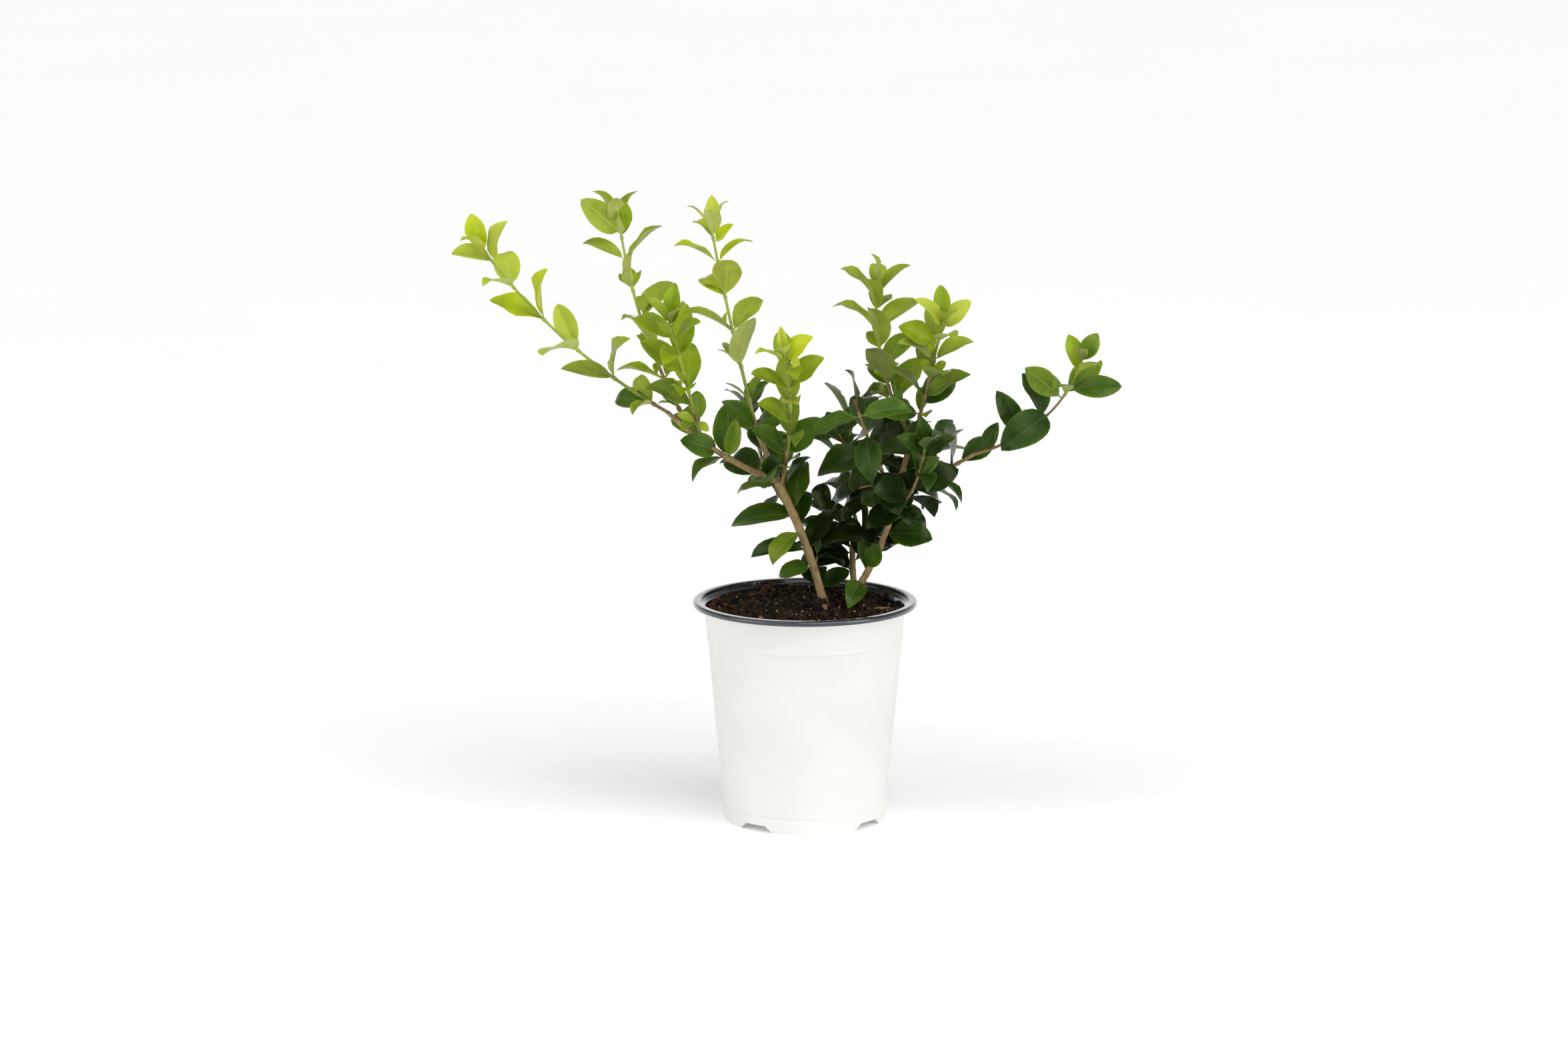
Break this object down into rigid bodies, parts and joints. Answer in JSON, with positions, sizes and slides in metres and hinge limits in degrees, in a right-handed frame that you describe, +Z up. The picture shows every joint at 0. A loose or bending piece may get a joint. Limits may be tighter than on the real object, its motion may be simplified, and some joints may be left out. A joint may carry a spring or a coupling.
{
  "type": "potted privet",
  "caption": "Young privet shrub with slender forking stems and paired oval leaves, growing in a tapered white nursery pot with a dark rim, filled with peat.",
  "frame": {"origin": "middle of the pot's underside, on its small middle pad, at the level the pot stands on", "axes": "+Z up along the pot's axis, -Y towards the viewer of the picture, +X to that viewer's right, so that the longest shoot reaches to -X"},
  "size_m": [0.3424, 0.1718, 0.3331],
  "materials": {
    "pot_plastic": "satin",
    "peat": "matte",
    "bark": "matte",
    "young_leaves": "satin",
    "green_leaves": "satin",
    "dark_leaves": "satin"
  },
  "bodies": {
    "root": {"back_centre_shoot": "dark_leaves", "back_left_shoot": "dark_leaves", "back_right_shoot": "dark_leaves", "back_stem": "bark", "back_stem_leaf_1": "dark_leaves", "back_stem_leaf_2": "dark_leaves", "back_stem_leaf_3": "dark_leaves", "back_stem_leaf_4": "dark_leaves", "back_stem_leaf_5": "dark_leaves", "centre_left_limb": "bark", "centre_left_limb_leaf_1": "green_leaves", "centre_left_shoot": "young_leaves", "centre_right_limb": "bark", "centre_right_limb_leaf_1": "dark_leaves", "centre_right_limb_leaf_2": "dark_leaves", "centre_right_limb_leaf_3": "dark_leaves", "centre_right_limb_leaf_4": "dark_leaves", "crown_right_shoot": "young_leaves", "far_left_shoot": "young_leaves", "far_right_shoot": "green_leaves", "front_right_shoot": "green_leaves", "inner_left_shoot": "young_leaves", "left_back_shoot": "young_leaves", "left_front_shoot": "young_leaves", "left_limb": "bark", "left_limb_leaf_1": "green_leaves", "left_limb_leaf_2": "green_leaves", "left_limb_leaf_3": "green_leaves", "left_limb_leaf_4": "green_leaves", "left_limb_leaf_5": "green_leaves", "left_stem": "bark", "left_stem_leaf_1": "dark_leaves", "left_stem_leaf_2": "dark_leaves", "left_stem_leaf_3": "dark_leaves", "left_stem_leaf_4": "dark_leaves", "left_stem_leaf_5": "dark_leaves", "left_stem_leaf_6": "dark_leaves", "left_stem_leaf_7": "dark_leaves", "left_stem_leaf_8": "dark_leaves", "left_stem_leaf_9": "dark_leaves", "low_right_shoot": "dark_leaves", "pot": "pot_plastic", "right_limb": "bark", "right_limb_leaf_1": "dark_leaves", "right_limb_leaf_2": "dark_leaves", "right_limb_leaf_3": "dark_leaves", "right_limb_leaf_4": "dark_leaves", "right_stem": "bark", "right_stem_leaf_1": "dark_leaves", "right_stem_leaf_2": "dark_leaves", "right_stem_leaf_3": "dark_leaves", "right_stem_leaf_4": "dark_leaves", "right_stem_leaf_5": "dark_leaves", "right_stem_leaf_6": "dark_leaves", "right_stem_leaf_7": "dark_leaves", "right_stem_leaf_8": "dark_leaves", "soil": "peat", "tall_right_shoot": "young_leaves"}
  },
  "joints": []
}
